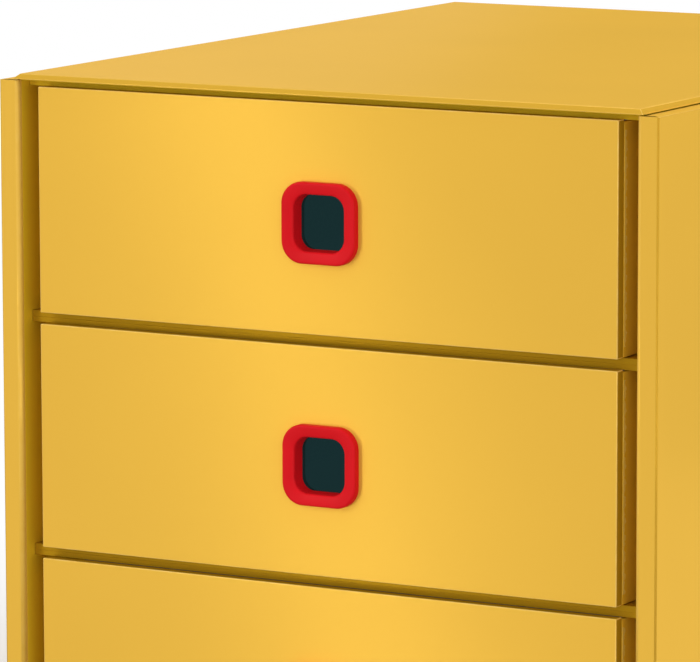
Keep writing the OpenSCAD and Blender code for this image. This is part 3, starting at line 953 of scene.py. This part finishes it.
def spread_band(grips, mesh):
    """Spreads the band of a swept ring to the ring's outline, which has corners of its own."""
    straight = grips.opening / 2 - grips.corner
    inside = grips.corner + grips.sleeve
    for vert in mesh.vertices:
        place = Vector((abs(vert.co.x), abs(vert.co.y)))
        foot = Vector((min(place.x, straight), min(place.y, straight)))
        reach = (place - foot).length
        if reach <= inside:
            continue
        way = (place - foot) / reach
        room = reach_outline(grips, foot, way) - inside
        place = foot + way * (inside + (reach - inside) * room / (grips.band - grips.sleeve))
        vert.co.x = math.copysign(place.x, vert.co.x)
        vert.co.y = math.copysign(place.y, vert.co.y)


def clip_outline(grips, front):
    """Section of the clip, outwards from the opening and forwards from the back of the drawer front."""
    width = grips.sleeve + grips.fit + grips.clip_band
    soft = grips.clip_flange * 0.4
    collar = grips.sleeve / 2 - grips.clip_fit
    reach = front - grips.depth - grips.clip_fit
    outline = [(collar, reach), (0.0, reach)]
    outline += arc((soft, soft - grips.clip_flange), soft, 180.0, 270.0, 5)
    outline += arc((width - soft, soft - grips.clip_flange), soft, 270.0, 360.0, 5)
    outline += [(width, 0.0), (collar, 0.0)]
    return outline


class ORGANIZER_OT_grips(bpy.types.Operator):
    """Sweeps the grip ring and the clip behind it for each drawer."""

    bl_idname = "organizer.grips"
    bl_label = "Grip rings"

    def execute(self, context):
        grips = context.scene.organizer_grips
        tree = sweep_tree()
        for level in LEVELS:
            body = f"{level}_drawer"
            low, high = corners(f"{body}_front", f"{body}_front_liner")
            front = high.y - low.y
            middle = grip_middle(level)
            self.sweep(grips, tree, body, "grip_ring", ring_outline(grips, front), middle,
                       "red_plastic", "ring_plastic")
            behind = Vector((middle.x, high.y, middle.z))
            self.sweep(grips, tree, body, "grip_clip", clip_outline(grips, front), behind,
                       "slate_plastic", "clip_plastic")
        return {"FINISHED"}

    @staticmethod
    def sweep(grips, tree, body, part, outline, middle, finish, slot):
        """One swept piece, stood upright at its place."""
        node = f"{body}_{part}"
        count = len(outline)
        mesh = grown(
            node, [(outwards, -forwards, 0.0) for outwards, forwards in outline],
            [(step, (step + 1) % count) for step in range(count)], tree,
            {"Opening": grips.opening, "Corner Radius": grips.corner, "Corner Steps": grips.corner_steps,
             "Finish": finish_for(finish)})
        if part == "grip_ring":
            spread_band(grips, mesh)
        mesh.transform(Matrix.Translation(middle) @ Matrix.Rotation(math.radians(90.0), 4, "X"))
        smooth_by_angle(mesh, 32.0)
        hand_over(f"{node}_moulding", mesh, body, finish, slot, node)


def smooth_by_angle(mesh, limit):
    """Smooth faces, with a sharp edge where faces turn by more than the limit, in degrees."""
    shape = bmesh.new()
    shape.from_mesh(mesh)
    for face in shape.faces:
        face.smooth = True
    for edge in shape.edges:
        edge.smooth = math.degrees(edge.calc_face_angle(0.0)) < limit
    shape.to_mesh(mesh)
    shape.free()


class ORGANIZER_OT_press_studs(bpy.types.Operator):
    """Sets the press studs of the back panel and of the drawers' corners."""

    bl_idname = "organizer.press_studs"
    bl_label = "Press studs"

    def execute(self, context):
        studs = context.scene.organizer_studs
        caps = cap_tree()
        sockets = socket_tree()
        self.set_row(studs, caps, sockets, CABINET, "rear_stud", 3, "back_panel", "left_rear_flap")
        for level in LEVELS:
            body = f"{level}_drawer"
            self.set_row(
                studs, caps, sockets, body, f"{body}_stud", 1, f"{body}_back", f"{body}_corner_flaps")
        return {"FINISHED"}

    @staticmethod
    def set_row(studs, caps, sockets, body, row, count, outer_board, inner_board):
        """The caps on an outer board and the sockets on the board inside it."""
        low, high = corners(f"{row}_caps")
        radius = studs.cap_diameter / 2
        gap = (high.z - low.z - 2 * radius) / max(count - 1, 1)
        heights = [low.z + radius + gap * step for step in range(count)]
        places = [(side * (high.x - radius), z) for side in (-1, 1) for z in heights]
        cap_sizes = {
            "Cap Diameter": studs.cap_diameter, "Rim Height": studs.rim_height,
            "Dome Height": studs.dome_height}
        socket_sizes = {
            "Socket Diameter": studs.socket_diameter, "Bore": studs.socket_bore,
            "Height": studs.socket_height, "Post Diameter": studs.post_diameter}
        metal = finish_for("plated_steel")
        for part, make, tree, y, sizes in (
            ("caps", "domed", caps, corners(outer_board)[1].y, cap_sizes),
            ("sockets", "rolled", sockets, corners(inner_board)[0].y, socket_sizes),
        ):
            node = f"{row}_{part}"
            mesh = grown(node, [(x, y, z) for x, z in places], [], tree, {**sizes, "Finish": metal})
            smooth_by_angle(mesh, 50.0)
            hand_over(f"{node}_{make}", mesh, body, "plated_steel", "stud_metal", node)


# Stage

class ORGANIZER_OT_stage(bpy.types.Operator):
    """Sets the floor, the light and the camera."""

    bl_idname = "organizer.stage"
    bl_label = "Stage"

    def execute(self, context):
        stage = context.scene.organizer_stage
        context.scene.view_settings.view_transform = "Standard"
        self.surround(context, stage)
        self.floor(context, stage)
        self.lamp(context, "key_light", stage.key_power, (1.4, 1.4), (-1.6, -2.5, 1.2))
        self.lamp(context, "fill_light", stage.fill_power, (1.4, 1.4), (2.6, 0.9, 0.9))
        self.lamp(context, "top_light", stage.top_power, (1.6, 1.6), (0.0, 0.2, 2.6), (0.0, 0.2, 0.0))
        self.lamp(context, "front_light", stage.front_power, (3.6, 0.9), (1.8, -2.0, 0.3))
        self.lamp(context, "strip_light", stage.strip_power, (0.05, 1.25), (-0.772, -1.495, -0.063),
                  (0.0, -0.1775, -0.063), stage.strip_lean)
        rear = self.lamp(context, "rear_light", stage.rear_power, (1.4, 0.8), (-2.2, 2.2, 0.05))
        rear.visible_glossy = False
        self.flag(context, stage)
        self.camera(context, stage)
        return {"FINISHED"}

    @staticmethod
    def seen(bench):
        """1 for a ray of the camera, of a reflection or through glass, and 0 for light on a surface."""
        path = bench.add("ShaderNodeLightPath").outputs
        first = bench.reckon("MAXIMUM", path["Is Camera Ray"], path["Is Glossy Ray"])
        return bench.reckon("MAXIMUM", first, path["Is Transmission Ray"])

    def surround(self, context, stage):
        """Soft white light from all round, weaker from below, which shows as plain white."""
        world = bpy.data.worlds.new("white_surround")
        context.scene.world = world
        world.use_nodes = True
        bench = Bench(world.node_tree)
        way = bench.add("ShaderNodeTexCoord").outputs["Generated"]
        upwards = bench.add("ShaderNodeSeparateXYZ", {"Vector": way}).outputs["Z"]
        light = mapped(bench, upwards, -1.0, 1.0, stage.surround - stage.surround_fall,
                       stage.surround + stage.surround_fall)
        bench.feed(world.node_tree.nodes["Background"], {
            "Color": WHITE, "Strength": mapped(bench, self.seen(bench), 0.0, 1.0, light, 1.0)})

    def floor(self, context, stage):
        """A wide pale table, lit from below like the rest of the tent, that fades into white."""
        finish, bench, shader, place = new_finish("pale_floor")
        bench.feed(shader, {
            "Base Color": (*stage.floor_colour, 1.0), "Roughness": 0.9, "Specular IOR Level": 0.1})
        foot = (CAD_BOX[1][0], CAD_BOX[1][1], 0.0)
        away = bench.add("ShaderNodeVectorMath", {0: place}, operation="ABSOLUTE")
        away = bench.add("ShaderNodeVectorMath", {0: away, 1: foot}, operation="SUBTRACT")
        away = bench.add("ShaderNodeVectorMath", {0: away, 1: (0.0, 0.0, 0.0)}, operation="MAXIMUM")
        fade = mapped(bench, bench.measure(away), 0.08, 0.32, 0.0, 1.0)
        white = bench.add("ShaderNodeEmission", {"Color": WHITE, "Strength": 1.0})
        mix = bench.add("ShaderNodeMixShader", {
            "Fac": bench.reckon("MULTIPLY", fade, self.seen(bench)), 1: shader, 2: white})
        bench.feed(finish.node_tree.nodes["Material Output"], {"Surface": mix})
        half = 30.0
        points = [(-half, -half, 0.0), (half, -half, 0.0), (half, half, 0.0), (-half, half, 0.0)]
        self.card(context, "floor", points, -0.0002, finish, ("shadow", "diffuse", "glossy"))

    def flag(self, context, stage):
        """A grey flag behind the cabinet, with a slanting soft edge, that shows in reflections alone."""
        finish, bench, _, place = new_finish("grey_flag")
        slant = (1.0, 0.0, 1.17)
        across = bench.add("ShaderNodeVectorMath", {0: place, 1: slant}, operation="DOT_PRODUCT")
        glow = bench.add("ShaderNodeEmission", {
            "Color": WHITE,
            "Strength": mapped(bench, across.outputs["Value"], 0.042, 0.084, 1.0, stage.flag_level)})
        bench.feed(finish.node_tree.nodes["Material Output"], {"Surface": glow})
        finish.cycles.emission_sampling = "NONE"
        points = [(-1.1, 0.6, 0.0), (0.6, 0.6, 0.0), (0.6, 0.6, 0.9), (-1.1, 0.6, 0.9)]
        self.card(context, "flag", points, 0.0, finish, ("camera", "diffuse", "transmission", "shadow"))

    @staticmethod
    def card(context, name, points, height, finish, unmet):
        """A flat four-cornered piece of the stage, which some kinds of ray don't meet."""
        mesh = bpy.data.meshes.new(name)
        mesh.from_pydata(points, [], [(0, 1, 2, 3)])
        mesh.materials.append(finish)
        card = bpy.data.objects.new(name, mesh)
        context.scene.collection.objects.link(card)
        card.location.z = height
        for ray in unmet:
            setattr(card, f"visible_{ray}", False)

    @staticmethod
    def lamp(context, name, power, size, place, target=(0.0, 0.0, 0.14), roll=0.0):
        """A rectangular soft light that the camera doesn't see."""
        light = bpy.data.lights.new(name, "AREA")
        light.shape = "RECTANGLE"
        light.size, light.size_y = size
        light.energy = power
        lamp = bpy.data.objects.new(name, light)
        lamp.location = place
        aim = (Vector(target) - Vector(place)).to_track_quat("-Z", "Y")
        lamp.rotation_euler = (aim.to_matrix() @ Matrix.Rotation(roll, 3, "Z")).to_euler()
        lamp.visible_camera = False
        context.scene.collection.objects.link(lamp)
        return lamp

    @staticmethod
    def camera(context, stage):
        """The camera at the photograph's viewing angle."""
        sine, cosine = math.sin(stage.yaw), math.cos(stage.yaw)
        level, fall = math.cos(stage.pitch), math.sin(stage.pitch)
        ahead = Vector((-sine * level, cosine * level, -fall))
        right = Vector((cosine, sine, 0.0))
        upright = right.cross(ahead)
        turn, lean = math.cos(stage.roll), math.sin(stage.roll)
        x_axis = turn * right + lean * upright
        y_axis = turn * upright - lean * right
        data = bpy.data.cameras.new("camera")
        data.sensor_fit = "HORIZONTAL"
        data.sensor_width = 36.0
        data.lens = stage.focal_pixels / IMAGE_WIDTH * data.sensor_width
        camera = bpy.data.objects.new("camera", data)
        axes = Matrix((x_axis, y_axis, -ahead)).transposed()
        camera.matrix_world = Matrix.Translation(stage.eye) @ axes.to_4x4()
        context.scene.collection.objects.link(camera)
        context.scene.camera = camera


OPERATORS = (
    ORGANIZER_OT_cabinet_boards,
    ORGANIZER_OT_top_panel,
    ORGANIZER_OT_shelves,
    ORGANIZER_OT_drawer_fronts,
    ORGANIZER_OT_drawer_boxes,
    ORGANIZER_OT_grips,
    ORGANIZER_OT_press_studs,
    ORGANIZER_OT_stage,
)
SETTINGS = {
    "organizer_boards": BoardSettings,
    "organizer_grips": GripSettings,
    "organizer_studs": StudSettings,
    "organizer_stage": StageSettings,
}


class ORGANIZER_PT_panel(bpy.types.Panel):
    """Sizes, colours and steps of the organizer."""

    bl_idname = "ORGANIZER_PT_panel"
    bl_label = "Organizer"
    bl_space_type = "VIEW_3D"
    bl_region_type = "UI"
    bl_category = "Organizer"

    def draw(self, context):
        for attribute, settings in SETTINGS.items():
            box = self.layout.box()
            for name in settings.__annotations__:
                box.prop(getattr(context.scene, attribute), name)
        for step in OPERATORS:
            self.layout.operator(step.bl_idname)


def register():
    """Registers the settings, the operators and the panel."""
    for attribute, settings in SETTINGS.items():
        bpy.utils.register_class(settings)
        setattr(bpy.types.Scene, attribute, PointerProperty(type=settings))
    for step in OPERATORS:
        bpy.utils.register_class(step)
    bpy.utils.register_class(ORGANIZER_PT_panel)


def unregister():
    """Removes what register adds."""
    bpy.utils.unregister_class(ORGANIZER_PT_panel)
    for step in reversed(OPERATORS):
        bpy.utils.unregister_class(step)
    for attribute, settings in SETTINGS.items():
        delattr(bpy.types.Scene, attribute)
        bpy.utils.unregister_class(settings)


def main():
    """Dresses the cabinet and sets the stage."""
    register()
    for step in OPERATORS:
        group, name = step.bl_idname.split(".")
        getattr(getattr(bpy.ops, group), name)()


if __name__ == "__main__":
    main()
